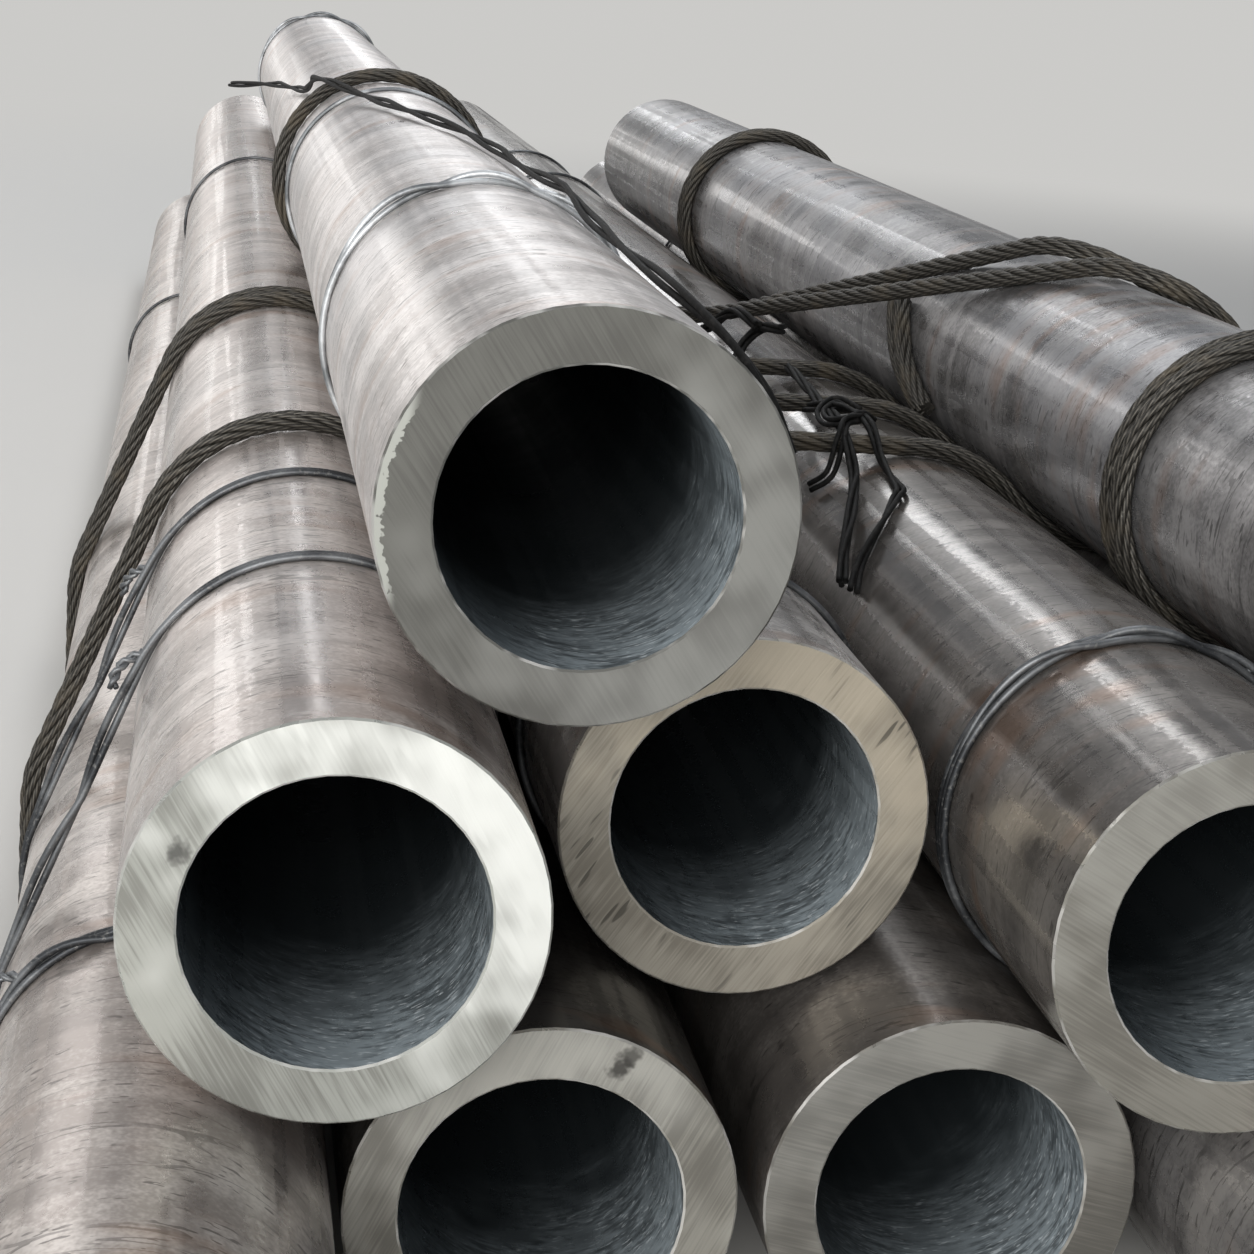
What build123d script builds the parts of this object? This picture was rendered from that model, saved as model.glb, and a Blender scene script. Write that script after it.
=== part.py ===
"""Stack of thick-walled seamless steel pipes, five on the floor, four on them and two on top.

The pipes lie side by side along +Y, with +X to the right and +Z up. Pipes of the middle layer
sit on the tie wires that run round them, and pipes of the top layer sit on the wire rope slings
laid over the middle layer. The pipes' near ends, towards -Y, are staggered, and places along
the pipes are counted from the near end of the middle layer's third pipe.
The origin is on the floor, under the middle of the stack's box, and write() moves each piece to it.
"""
from math import acos, atan2, cos, hypot, pi, radians, sin, sqrt, tan
import os
from build123d import *

# pipes
PIPE_OD = 273.0           # outside diameter of the nine heavy pipes
PIPE_WALL = 38.0
SLIM_PIPE_OD = 245.0      # the far left pipe on the floor and the right one on top are slimmer
SLIM_PIPE_WALL = 36.0
EDGE_BREAK = 1.5          # the sawn ends' deburred edge, outside and inside

# wires and ropes
WIRE_D = 6.0              # soft iron tie wire
ROPE_D = 20.0             # six-strand wire rope
SEAT_CLEARANCE = 0.2      # between a wire or rope and the pipe on each side of it
WIRE_PITCH = WIRE_D + 0.8     # turns of tie wire lie side by side
ROPE_PITCH = ROPE_D + 2.0     # parallel ropes lie side by side

# clear gaps between neighbours of the floor layer, from the second pipe on
FLOOR_GAP_2_3 = 23.0
FLOOR_GAP_3_4 = 21.0
FLOOR_GAP_4_5 = 137.0

# gaps between pipes where a wire or a rope passes between them
WIRE_GAP = WIRE_D + 2 * SEAT_CLEARANCE
ROPE_GAP = ROPE_D + 2 * SEAT_CLEARANCE
PIPE_R = PIPE_OD / 2
SLIM_R = SLIM_PIPE_OD / 2
WIRE_LAY = PIPE_R + WIRE_GAP / 2      # radius of a tie wire's centre line round a heavy pipe
SLIM_WIRE_LAY = SLIM_R + WIRE_GAP / 2
ROPE_LAY = PIPE_R + ROPE_GAP / 2      # radius of a rope's centre line over a heavy pipe
SLIM_ROPE_LAY = SLIM_R + ROPE_GAP / 2


def seated(left, left_r, right, right_r, radius, gap):
    """Centre of a pipe that lies in the valley of two others, with a gap at both seats."""
    to_left = left_r + radius + gap
    to_right = right_r + radius + gap
    dx = right[0] - left[0]
    dz = right[1] - left[1]
    span = hypot(dx, dz)
    along = (to_left ** 2 - to_right ** 2 + span ** 2) / (2 * span)
    rise = sqrt(to_left ** 2 - along ** 2)
    return (left[0] + along * dx / span - rise * dz / span, left[1] + along * dz / span + rise * dx / span)


# centres of the pipes, seen from the near end, as (x, z)
FLOOR_2 = (0.0, PIPE_R)
FLOOR_3 = (FLOOR_2[0] + PIPE_OD + FLOOR_GAP_2_3, PIPE_R)
FLOOR_4 = (FLOOR_3[0] + PIPE_OD + FLOOR_GAP_3_4, PIPE_R)
FLOOR_5 = (FLOOR_4[0] + PIPE_OD + FLOOR_GAP_4_5, PIPE_R)
RAISED_Z = SLIM_R + WIRE_GAP
FLOOR_1 = (-sqrt((PIPE_R + SLIM_R + WIRE_GAP) ** 2 - (PIPE_R - RAISED_Z) ** 2), RAISED_Z)
MIDDLE_1 = seated(FLOOR_1, SLIM_R, FLOOR_2, PIPE_R, PIPE_R, WIRE_GAP)
MIDDLE_2 = seated(FLOOR_2, PIPE_R, FLOOR_3, PIPE_R, PIPE_R, WIRE_GAP)
MIDDLE_3 = seated(FLOOR_3, PIPE_R, FLOOR_4, PIPE_R, PIPE_R, WIRE_GAP)
MIDDLE_4 = seated(FLOOR_4, PIPE_R, FLOOR_5, PIPE_R, PIPE_R, WIRE_GAP)
TOP_1 = seated(MIDDLE_1, PIPE_R, MIDDLE_2, PIPE_R, PIPE_R, ROPE_GAP)
TOP_2 = seated(MIDDLE_3, PIPE_R, MIDDLE_4, PIPE_R, SLIM_R, ROPE_GAP)

# each pipe's centre, its near end along Y and its length, as it was cut
PIPES = {
    "pipe_floor_2": (FLOOR_2, 83.0, 5000.0),
    "pipe_floor_3": (FLOOR_3, 101.0, 5100.0),
    "pipe_floor_4": (FLOOR_4, -160.0, 5200.0),
    "pipe_floor_5": (FLOOR_5, -90.0, 5050.0),
    "pipe_middle_1": (MIDDLE_1, 22.0, 5400.0),
    "pipe_middle_2": (MIDDLE_2, 220.0, 4800.0),
    "pipe_middle_3": (MIDDLE_3, 0.0, 5800.0),
    "pipe_middle_4": (MIDDLE_4, -60.0, 4900.0),
    "pipe_top_1": (TOP_1, 75.0, 4500.0),
}
SLIM_PIPES = {
    "pipe_floor_1": (FLOOR_1, -215.0, 5500.0),
    "pipe_top_2": (TOP_2, -80.0, 3600.0),
}

# how many turns of a wire or rope lie side by side
ONCE = 1
TWICE = 2
THRICE = 3

# where the tie wires go round single pipes: centre, then places along Y with their turns
TIES = {
    "ties_middle_1": (MIDDLE_1, ((3600.0, ONCE),)),
    "ties_middle_2": (MIDDLE_2, ((430.0, ONCE), (3500.0, ONCE))),
    "ties_middle_3": (MIDDLE_3, ((240.0, THRICE), (3650.0, ONCE), (4150.0, ONCE))),
    "ties_middle_4": (MIDDLE_4, ((300.0, ONCE), (3550.0, ONCE))),
    "ties_top_1": (TOP_1, ((765.0, TWICE), (1960.0, ONCE), (4450.0, TWICE))),
}
FLOOR_TIES = ((280.0, THRICE), (3450.0, ONCE))

# where the tie wires bind the two pipes at the left of the stack together
PAIR_TIES = ((405.0, TWICE), (700.0, TWICE))

# where the ropes go round the top pipes
LEFT_ROPE_LOOPS = ((2150.0, ONCE),)
RIGHT_ROPE_LOOPS = ((520.0, TWICE), (2560.0, TWICE))

# slings square across the stack, each at its place along Y
SLING_ACROSS = 895.0           # from flank to flank, under both top pipes
SLING_2_FROM_VALLEY = 1105.0   # these two have their left ends under the left top pipe
SLING_3_FROM_VALLEY = 1330.0
VALLEY_ANGLE = 15.0            # where those ends lie, left of straight below the top pipe, in degrees

# slings that come up square on the left, turn towards the near end and go over the right top pipe:
# their places along Y on the left and, counted from the sling across, on the right, and how far
# they turn to the left of the middle layer's third pipe
SLINGS_OVER = {
    "sling_4": (1712.0, 115.0, 45.0),
    "sling_5": (1668.0, -25.0, 105.0),
}
TURN_REACH = 58.0              # from the corner of that turn to where the rope starts to bend
SHOULDER_ANGLE = 30.0          # right of the top pipe's crest, where the rope is square again, in degrees

# the middle of the stack's box, where the origin goes
LEFT_SIDE = FLOOR_1[0] - SLIM_ROPE_LAY - ROPE_D / 2
RIGHT_SIDE = FLOOR_5[0] + ROPE_LAY + ROPE_D / 2
ALL_PIPES = list(PIPES.values()) + list(SLIM_PIPES.values())
NEAR_END = min(start for _, start, _ in ALL_PIPES)
FAR_END = max(start + length for _, start, length in ALL_PIPES)
ORIGIN = ((LEFT_SIDE + RIGHT_SIDE) / 2, (NEAR_END + FAR_END) / 2)


def pipe(centre, start, length, outside, wall):
    """A pipe along +Y with both ends sawn square and their edges broken."""
    section = Plane(origin=(centre[0], start, centre[1]), x_dir=(1, 0, 0), z_dir=(0, 1, 0))
    solid = extrude(section * Circle(outside / 2), length)
    solid -= extrude(section * Circle(outside / 2 - wall), length)
    return chamfer(solid.edges().filter_by(GeomType.CIRCLE), EDGE_BREAK)


def loops(centre, places, pitch, lay, diameter):
    """Wires or ropes that go once round a pipe, with the turns at each place side by side."""
    rings = []
    for y, count in places:
        for turn in range(round(count)):
            ring = Plane(origin=(centre[0], y + pitch * turn, centre[1]), z_dir=(0, 1, 0))
            rings.append(ring * Torus(lay, diameter / 2))
    return rings


def tangent(first, second):
    """Ends of the straight run from one circle to the next, in running direction.

    A circle is (centre, radius, sense), with sense +1 where the rope turns clockwise round it
    and -1 where it turns the other way. An end of the rope is a circle of no radius.
    """
    (x1, z1), r1, sense1 = first
    (x2, z2), r2, sense2 = second
    dx = x2 - x1
    dz = z2 - z1
    lean = max(-1.0, min(1.0, (sense1 * r1 - sense2 * r2) / hypot(dx, dz)))
    normal = atan2(dz, dx) + acos(lean)
    nx = cos(normal)
    nz = sin(normal)
    leave = (x1 + sense1 * r1 * nx, z1 + sense1 * r1 * nz)
    meet = (x2 + sense2 * r2 * nx, z2 + sense2 * r2 * nz)
    if hypot(meet[0] - leave[0], meet[1] - leave[1]) > 0.01:
        return leave, meet
    return meet, meet


def arc_middle(circle, start, end):
    """Middle of the rope's run round one circle."""
    (x, z), radius, sense = circle
    first = atan2(start[1] - z, start[0] - x)
    last = atan2(end[1] - z, end[0] - x)
    turned = (sense * (first - last)) % (2 * pi)
    return x + radius * cos(first - sense * turned / 2), z + radius * sin(first - sense * turned / 2)


def square_run(y, start, circles, end):
    """A taut run over circles in the plane of one y, as points: pairs for lines, threes for arcs."""
    stops = [(start, 0.0, 1)] + circles + [(end, 0.0, 1)]
    straights = [tangent(before, after) for before, after in zip(stops, stops[1:])]
    pieces = []
    for index, (leave, meet) in enumerate(straights):
        if leave != meet:
            pieces.append([leave, meet])
        if index < len(circles):
            after = straights[index + 1][0]
            pieces.append([meet, arc_middle(circles[index], meet, after), after])
    return [[Vector(x, y, z) for x, z in piece] for piece in pieces]


def closed_run(y, circles):
    """A taut loop over circles in the plane of one y, as points: pairs for lines, threes for arcs."""
    straights = [tangent(before, after) for before, after in zip(circles, circles[1:] + circles[:1])]
    pieces = []
    for index, (leave, meet) in enumerate(straights):
        arrive = straights[index - 1][1]
        pieces.append([arrive, arc_middle(circles[index], arrive, leave), leave])
        if leave != meet:
            pieces.append([leave, meet])
    return [[Vector(x, y, z) for x, z in piece] for piece in pieces]


def corner(before, at, after, reach):
    """A bend that rounds the corner at a point, starting and ending at the reach from it."""
    back = (before - at).normalized()
    ahead = (after - at).normalized()
    half = back.get_angle(ahead) / 2
    radius = reach * tan(radians(half))
    inward = (back + ahead).normalized()
    depth = radius / sin(radians(half)) - radius
    return [at + back * reach, at + inward * depth, at + ahead * reach]


def rope(pieces, diameter):
    """A round rope along lines and arcs that run on from each other."""
    edges = [Line(*piece) if len(piece) == 2 else ThreePointArc(*piece) for piece in pieces]
    path = Wire(edges)
    profile = Plane(origin=path @ 0, z_dir=path % 0) * Circle(diameter / 2)
    return sweep(profile, path=path)


def write(name, solids):
    """One STEP for a node of one or more solids that don't touch."""
    placed = [Pos(-ORIGIN[0], -ORIGIN[1], 0) * solid for solid in solids]
    shape = placed[0] if len(placed) == 1 else Compound(label=name, children=placed)
    export_step(shape, f"parts/{name}.step")


os.makedirs("parts", exist_ok=True)

for name, (centre, start, length) in PIPES.items():
    write(name, [pipe(centre, start, length, PIPE_OD, PIPE_WALL)])
for name, (centre, start, length) in SLIM_PIPES.items():
    write(name, [pipe(centre, start, length, SLIM_PIPE_OD, SLIM_PIPE_WALL)])

for name, (centre, places) in TIES.items():
    write(name, loops(centre, places, WIRE_PITCH, WIRE_LAY, WIRE_D))
write("ties_floor_1", loops(FLOOR_1, FLOOR_TIES, WIRE_PITCH, SLIM_WIRE_LAY, WIRE_D))
write("rope_loops_top_1", loops(TOP_1, LEFT_ROPE_LOOPS, ROPE_PITCH, ROPE_LAY, ROPE_D))
write("rope_loops_top_2", loops(TOP_2, RIGHT_ROPE_LOOPS, ROPE_PITCH, SLIM_ROPE_LAY, ROPE_D))

# over the upper pipe, down between it and the second floor pipe, and back under the first
ROUND_THE_PAIR = [(MIDDLE_1, WIRE_LAY, 1), (FLOOR_2, WIRE_LAY, -1), (FLOOR_1, SLIM_WIRE_LAY, 1)]
pair_ties = []
for place, count in PAIR_TIES:
    for turn in range(round(count)):
        pair_ties.append(rope(closed_run(place + WIRE_PITCH * turn, ROUND_THE_PAIR), WIRE_D))
write("ties_left_pair", pair_ties)

# the slings' ends hang just clear of the floor, straight below the stack's flanks
END_Z = ROPE_D
LEFT_END = (FLOOR_1[0] - SLIM_ROPE_LAY, END_Z)
RIGHT_END = (FLOOR_5[0] + ROPE_LAY, END_Z)
VALLEY_SIDE = ROPE_LAY * sin(radians(VALLEY_ANGLE))
VALLEY_DEPTH = ROPE_LAY * cos(radians(VALLEY_ANGLE))
VALLEY_END = (TOP_1[0] - VALLEY_SIDE, TOP_1[1] - VALLEY_DEPTH)

# the pipes that the slings turn round, from left to right
UP_THE_LEFT = [(FLOOR_1, SLIM_ROPE_LAY, 1), (MIDDLE_1, ROPE_LAY, 1)]
UNDER_TOP_1 = [(TOP_1, ROPE_LAY, -1), (MIDDLE_2, ROPE_LAY, 1)]
UNDER_TOP_2 = [(MIDDLE_3, ROPE_LAY, 1), (TOP_2, SLIM_ROPE_LAY, -1)]
DOWN_FROM_THERE = [(MIDDLE_4, ROPE_LAY, 1), (FLOOR_5, ROPE_LAY, 1)]
DOWN_THE_RIGHT = [(TOP_2, SLIM_ROPE_LAY, 1), (FLOOR_5, ROPE_LAY, 1)]

UNDER_BOTH = UNDER_TOP_1 + UNDER_TOP_2 + DOWN_FROM_THERE
write("sling_1", [rope(square_run(SLING_ACROSS, LEFT_END, UP_THE_LEFT + UNDER_BOTH, RIGHT_END), ROPE_D)])
for name, y in (("sling_2", SLING_2_FROM_VALLEY), ("sling_3", SLING_3_FROM_VALLEY)):
    write(name, [rope(square_run(y, VALLEY_END, UNDER_BOTH, RIGHT_END), ROPE_D)])


def sling_over(left_y, right_y, turn_offset):
    """A sling that is square to the pipes on the left and, nearer, on the right of the stack."""
    turn_at = (MIDDLE_3[0] - turn_offset, MIDDLE_2[1] + ROPE_LAY)
    left = square_run(left_y, LEFT_END, UP_THE_LEFT + UNDER_TOP_1, turn_at)
    # the slanting run touches the top pipe on the left, and the square run leaves its shoulder
    touch = tangent((turn_at, 0.0, 1), (TOP_2, SLIM_ROPE_LAY, 1))[1]
    touch_angle = atan2(touch[0] - TOP_2[0], touch[1] - TOP_2[1])
    half = (radians(SHOULDER_ANGLE) - touch_angle) / 2
    peak = SLIM_ROPE_LAY / cos(half)
    peak_angle = touch_angle + half
    over = (TOP_2[0] + peak * sin(peak_angle), TOP_2[1] + peak * cos(peak_angle))
    right = square_run(right_y, over, DOWN_THE_RIGHT, RIGHT_END)
    first_corner = Vector(turn_at[0], left_y, turn_at[1])
    second_corner = Vector(over[0], right_y, over[1])
    shoulder = right[0][1]
    turn = corner(left[-1][0], first_corner, second_corner, TURN_REACH)
    crest = corner(first_corner, second_corner, shoulder, (shoulder - second_corner).length)
    left[-1][1] = turn[0]
    crest[-1] = shoulder
    return left + [turn, [turn[-1], crest[0]], crest] + right[1:]


for name, (left_y, right_shift, turn_offset) in SLINGS_OVER.items():
    write(name, [rope(sling_over(left_y, SLING_ACROSS + right_shift, turn_offset), ROPE_D)])
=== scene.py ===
"""Looks of a stack of thick-walled steel pipes bound with tie wires and wire rope slings.

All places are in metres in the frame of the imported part: +Y along the pipes, away from their
staggered near ends, +X to the right and +Z up, with the origin on the floor.
"""
from collections import namedtuple
from math import acos, atan2, cos, hypot, pi, radians, sin, tan

import bmesh
import bpy
from mathutils import Matrix, Vector


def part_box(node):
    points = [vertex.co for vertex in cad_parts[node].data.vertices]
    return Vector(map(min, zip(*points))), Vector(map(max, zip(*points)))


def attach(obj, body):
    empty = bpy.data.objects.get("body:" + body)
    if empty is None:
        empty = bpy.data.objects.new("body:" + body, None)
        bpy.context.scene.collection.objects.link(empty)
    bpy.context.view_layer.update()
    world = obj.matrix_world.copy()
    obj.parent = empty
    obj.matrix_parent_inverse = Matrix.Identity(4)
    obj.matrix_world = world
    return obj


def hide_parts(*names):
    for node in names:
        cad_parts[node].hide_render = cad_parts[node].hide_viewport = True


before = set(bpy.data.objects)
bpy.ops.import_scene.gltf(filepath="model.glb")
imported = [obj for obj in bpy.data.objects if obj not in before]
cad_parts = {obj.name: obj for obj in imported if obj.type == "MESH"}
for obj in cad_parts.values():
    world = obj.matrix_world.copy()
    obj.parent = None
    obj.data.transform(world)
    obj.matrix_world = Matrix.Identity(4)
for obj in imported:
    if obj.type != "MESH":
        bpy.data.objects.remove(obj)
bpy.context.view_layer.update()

# sizes
WIRE_D = 0.006
ROPE_D = 0.020
SEAT_CLEARANCE = 0.0002
WIRE_PITCH = WIRE_D + 0.0008
ROPE_PITCH = ROPE_D + 0.002
WALL = 0.038
SLIM_WALL = 0.036
# a rope's strands, which lie round one more as its core and are swollen a little, so that they touch
STRANDS = 6
STRAND_R = ROPE_D / 6
STRAND_SWELL = 1.02
ROPE_LAY_LENGTH = 0.160      # along the rope, for one turn of a strand
# spacing of the points along ropes and wires
STRAIGHT_STEP = 0.012
PAIR_STEP = 0.010
ROPE_STEP = 0.009
WIRE_STEP = 0.007
KNOT_STEP = 0.005
TAIL_STEP = 0.004
SHORTEST_RUN = 0.00001
# sides of a tube's section
WIRE_SIDES = 10
LOOSE_WIRE_SIDES = 8
STRAND_SIDES = 7
CORE_SIDES = 6

# places along Y are counted from the near end of the middle layer's third pipe
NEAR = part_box("pipe_middle_3")[0][1]


class Pipe:
    """Centre, radii and near end of a pipe, read from its node's box."""

    def __init__(self, node):
        low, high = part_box(node)
        self.node = node
        self.x = (low[0] + high[0]) / 2
        self.z = (low[2] + high[2]) / 2
        self.radius = (high[0] - low[0]) / 2
        self.start = low[1]
        self.wall = SLIM_WALL if node in ("pipe_floor_1", "pipe_top_2") else WALL
        self.bore = self.radius - self.wall


PIPES = {node: Pipe(node) for node in sorted(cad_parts) if node.startswith("pipe_")}
FLOOR_1 = PIPES["pipe_floor_1"]
FLOOR_5 = PIPES["pipe_floor_5"]
MIDDLE_1 = PIPES["pipe_middle_1"]
MIDDLE_2 = PIPES["pipe_middle_2"]
MIDDLE_3 = PIPES["pipe_middle_3"]
MIDDLE_4 = PIPES["pipe_middle_4"]
TOP_1 = PIPES["pipe_top_1"]
TOP_2 = PIPES["pipe_top_2"]


# camera, as found from the photograph's end rings and outlines
CAMERA_AT = (-0.6220, -4.2013, 0.9697)
CAMERA_RIGHT = (0.98426, -0.15691, 0.08130)
CAMERA_DOWN = (0.03551, -0.27505, -0.96077)
CAMERA_AHEAD = (0.17311, 0.94854, -0.26515)
FOCAL_LENGTH = 70.64
SENSOR = 36.0


def make_camera():
    data = bpy.data.cameras.new("camera")
    data.sensor_width = SENSOR
    data.sensor_height = SENSOR
    data.lens = FOCAL_LENGTH
    data.clip_end = 400
    camera = bpy.data.objects.new("camera", data)
    bpy.context.scene.collection.objects.link(camera)
    turn = Matrix((CAMERA_RIGHT, [-v for v in CAMERA_DOWN], [-v for v in CAMERA_AHEAD])).transposed()
    camera.matrix_world = Matrix.Translation(CAMERA_AT) @ turn.to_4x4()
    bpy.context.scene.camera = camera


# node helpers

class Nodes:
    """Short ways to add nodes to one material or world."""

    def __init__(self, owner):
        owner.use_nodes = True
        self.owner = owner
        self.tree = owner.node_tree
        self.shader = self.tree.nodes.get("Principled BSDF")

    def add(self, kind, **settings):
        node = self.tree.nodes.new(kind)
        for name, value in settings.items():
            setattr(node, name, value)
        return node

    def put(self, value, socket):
        if isinstance(value, bpy.types.NodeSocket):
            self.tree.links.new(value, socket)
        else:
            socket.default_value = value

    def math(self, operation, first, second=0.0, clamp=False, third=0.0):
        node = self.add("ShaderNodeMath", operation=operation, use_clamp=clamp)
        self.put(first, node.inputs[0])
        self.put(second, node.inputs[1])
        self.put(third, node.inputs[2])
        return node.outputs[0]

    def mad(self, first, second, third):
        """first * second + third"""
        return self.math("MULTIPLY_ADD", first, second, third=third)

    def times(self, first, second):
        return self.math("MULTIPLY", first, second)

    def blend(self, amount, first, second):
        """The first number where the amount is 0, and the second where it is 1."""
        return self.mad(self.math("SUBTRACT", second, first), amount, first)

    def vector(self, operation, first, second=(0.0, 0.0, 0.0), third=(0.0, 0.0, 0.0)):
        node = self.add("ShaderNodeVectorMath", operation=operation)
        for value, socket in zip((first, second, third), node.inputs):
            self.put(value, socket)
        return node.outputs["Value"] if operation in ("LENGTH", "DOT_PRODUCT") else node.outputs[0]

    def combine(self, x, y, z):
        node = self.add("ShaderNodeCombineXYZ")
        for value, socket in zip((x, y, z), node.inputs):
            self.put(value, socket)
        return node.outputs[0]

    def noise(self, vector, scale, detail=3.0, roughness=0.55):
        node = self.add("ShaderNodeTexNoise")
        self.put(vector, node.inputs["Vector"])
        node.inputs["Scale"].default_value = scale
        node.inputs["Detail"].default_value = detail
        node.inputs["Roughness"].default_value = roughness
        return node.outputs["Fac"]

    def band(self, value, low, high):
        """0 below low, 1 above high and smooth between, or the other way round."""
        node = self.add("ShaderNodeMapRange", interpolation_type="SMOOTHSTEP")
        self.put(value, node.inputs["Value"])
        node.inputs["From Min"].default_value = min(low, high)
        node.inputs["From Max"].default_value = max(low, high)
        node.inputs["To Min"].default_value = 0.0 if low < high else 1.0
        node.inputs["To Max"].default_value = 1.0 if low < high else 0.0
        return node.outputs["Result"]

    def mix(self, amount, first, second):
        """The first colour where the amount is 0, and the second where it is 1."""
        node = self.add("ShaderNodeMix", data_type="RGBA")
        self.put(amount, node.inputs[0])
        for value, socket in ((first, node.inputs[6]), (second, node.inputs[7])):
            self.put(value if isinstance(value, bpy.types.NodeSocket) else (*value, 1.0), socket)
        return node.outputs[2]

    def mix_shaders(self, amount, first, second, output):
        node = self.add("ShaderNodeMixShader")
        for value, socket in zip((amount, first.outputs[0], second.outputs[0]), node.inputs):
            self.put(value, socket)
        self.put(node.outputs[0], self.tree.nodes[output].inputs["Surface"])

    def bump(self, height, strength, distance):
        """Fine relief for the shader, which another of its layers can share."""
        node = self.add("ShaderNodeBump")
        node.inputs["Strength"].default_value = strength
        node.inputs["Distance"].default_value = distance
        self.put(height, node.inputs["Height"])
        self.put(node.outputs["Normal"], self.shader.inputs["Normal"])
        return node.outputs["Normal"]

    def shade(self, colour, roughness, metallic):
        """Gives the shader its main inputs and returns the finished material."""
        self.put(colour, self.shader.inputs["Base Color"])
        self.put(roughness, self.shader.inputs["Roughness"])
        self.put(metallic, self.shader.inputs["Metallic"])
        return self.owner


# finishes of the pipes
# skin: its light and dark colours, share of blue scale, how streaky it is along the pipe and its gloss
Skin = namedtuple("Skin", "light dark blue streaky gloss")
# face: its light and dark colours, angle of the saw's marks, their contrast, the side that gets a
# painted highlight, in degrees from the right, how strong the painted highlight is there, and its colour
Face = namedtuple("Face", "light dark saw_angle contrast bright_side bright bright_colour")
# colours of the painted highlights on the end faces
WARM_FACE_HIGHLIGHT = (0.60, 0.52, 0.40)
PALE_FACE_HIGHLIGHT = (0.88, 0.89, 0.86)
LOOKS = {
    "pipe_top_1": (Skin((0.76, 0.725, 0.71), (0.48, 0.445, 0.43), 0.20, 0.3, 0.0),
                   Face((0.145, 0.144, 0.133), (0.112, 0.110, 0.102), 35, 0.25, 320, 0.16, PALE_FACE_HIGHLIGHT)),
    "pipe_top_2": (Skin((0.38, 0.368, 0.368), (0.155, 0.151, 0.152), 0.30, 0.3, 0.25),
                   Face((0.26, 0.255, 0.235), (0.17, 0.165, 0.15), 10, 0.5, 60, 0.2, PALE_FACE_HIGHLIGHT)),
    "pipe_middle_1": (Skin((0.72, 0.67, 0.64), (0.45, 0.40, 0.375), 0.15, 0.4, 0.25),
                      Face((0.43, 0.44, 0.41), (0.27, 0.272, 0.25), 30, 0.8, 50, 1.0, PALE_FACE_HIGHLIGHT)),
    "pipe_middle_2": (Skin((0.70, 0.67, 0.645), (0.34, 0.32, 0.305), 0.20, 0.5, 0.4),
                      Face((0.38, 0.355, 0.305), (0.235, 0.216, 0.182), -33, 1.0, 70, 0.48, WARM_FACE_HIGHLIGHT)),
    "pipe_middle_3": (Skin((0.255, 0.237, 0.222), (0.150, 0.139, 0.130), 0.10, 0.5, 0.5),
                      Face((0.28, 0.27, 0.24), (0.20, 0.19, 0.168), 60, 0.5, 100, 0.15, PALE_FACE_HIGHLIGHT)),
    "pipe_floor_1": (Skin((0.66, 0.61, 0.575), (0.38, 0.335, 0.31), 0.10, 0.4, 0.2),
                     Face((0.30, 0.29, 0.265), (0.18, 0.175, 0.16), 20, 0.5, 60, 0.2, PALE_FACE_HIGHLIGHT)),
    # the second floor pipe's skin is painted near black, as painted shade where it lies deep between the
    # others
    "pipe_floor_2": (Skin((0.065, 0.060, 0.055), (0.024, 0.022, 0.020), 0.10, 0.4, 0.25),
                     Face((0.31, 0.297, 0.262), (0.19, 0.181, 0.16), -25, 0.8, 100, 0.22, PALE_FACE_HIGHLIGHT)),
    "pipe_floor_3": (Skin((0.27, 0.25, 0.233), (0.14, 0.127, 0.118), 0.10, 0.3, 0.0),
                     Face((0.23, 0.22, 0.198), (0.155, 0.149, 0.135), 75, 0.4, 110, 0.15, PALE_FACE_HIGHLIGHT)),
}
OTHER_LOOK = (Skin((0.38, 0.36, 0.35), (0.18, 0.17, 0.165), 0.20, 0.4, 0.5),
              Face((0.30, 0.29, 0.265), (0.18, 0.175, 0.16), 25, 0.5, 60, 0.2, PALE_FACE_HIGHLIGHT))
# stains on the end faces: place right and up of the centre, size, colour and strength
SPOTS = {
    "pipe_middle_1": ((-0.0995, 0.048, 0.008, (0.10, 0.10, 0.095), 0.85),),
    "pipe_floor_2": ((0.045, 0.107, 0.008, (0.055, 0.052, 0.048), 0.9),
                     (0.053, 0.117, 0.008, (0.055, 0.052, 0.048), 0.8)),
}
# flaky burr left on an outer edge: its side and half width in degrees, and its depth
BURRS = {"pipe_top_1": (176, 26, 0.007)}
BURR_FADE = 8                # degrees
BURR_RAGGED = 0.014
BURR_COLOUR = (0.42, 0.43, 0.40)
BLUE_SCALE = (0.24, 0.255, 0.285)
RUST = (0.26, 0.12, 0.05)
BARE_STEEL = (0.72, 0.71, 0.69)
COAT_ROUGHNESS = 0.19
# bore colours: painted shade deep inside, and its blue-grey scale where painted light falls near the mouth
BORE_SHADE = (0.022, 0.027, 0.030)
BORE_LIT_SCALE = (0.46, 0.53, 0.575)
BORE_MARK = (0.80, 0.86, 0.90)
BORE_SHADE_FADES = (0.35, 0.06)    # hazy depths behind the mouth where painted shade makes the bore dark and where it is at its brightest
MARKS_FADE = (0.31, 0.09)    # and where its marks fade into that painted shade and where they are at their brightest
BORE_PAINTED_LIGHT_SIDE = -28       # side of the bore that gets painted light, in degrees from the right


def darker(colour, share):
    return [share * value for value in colour]


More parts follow.
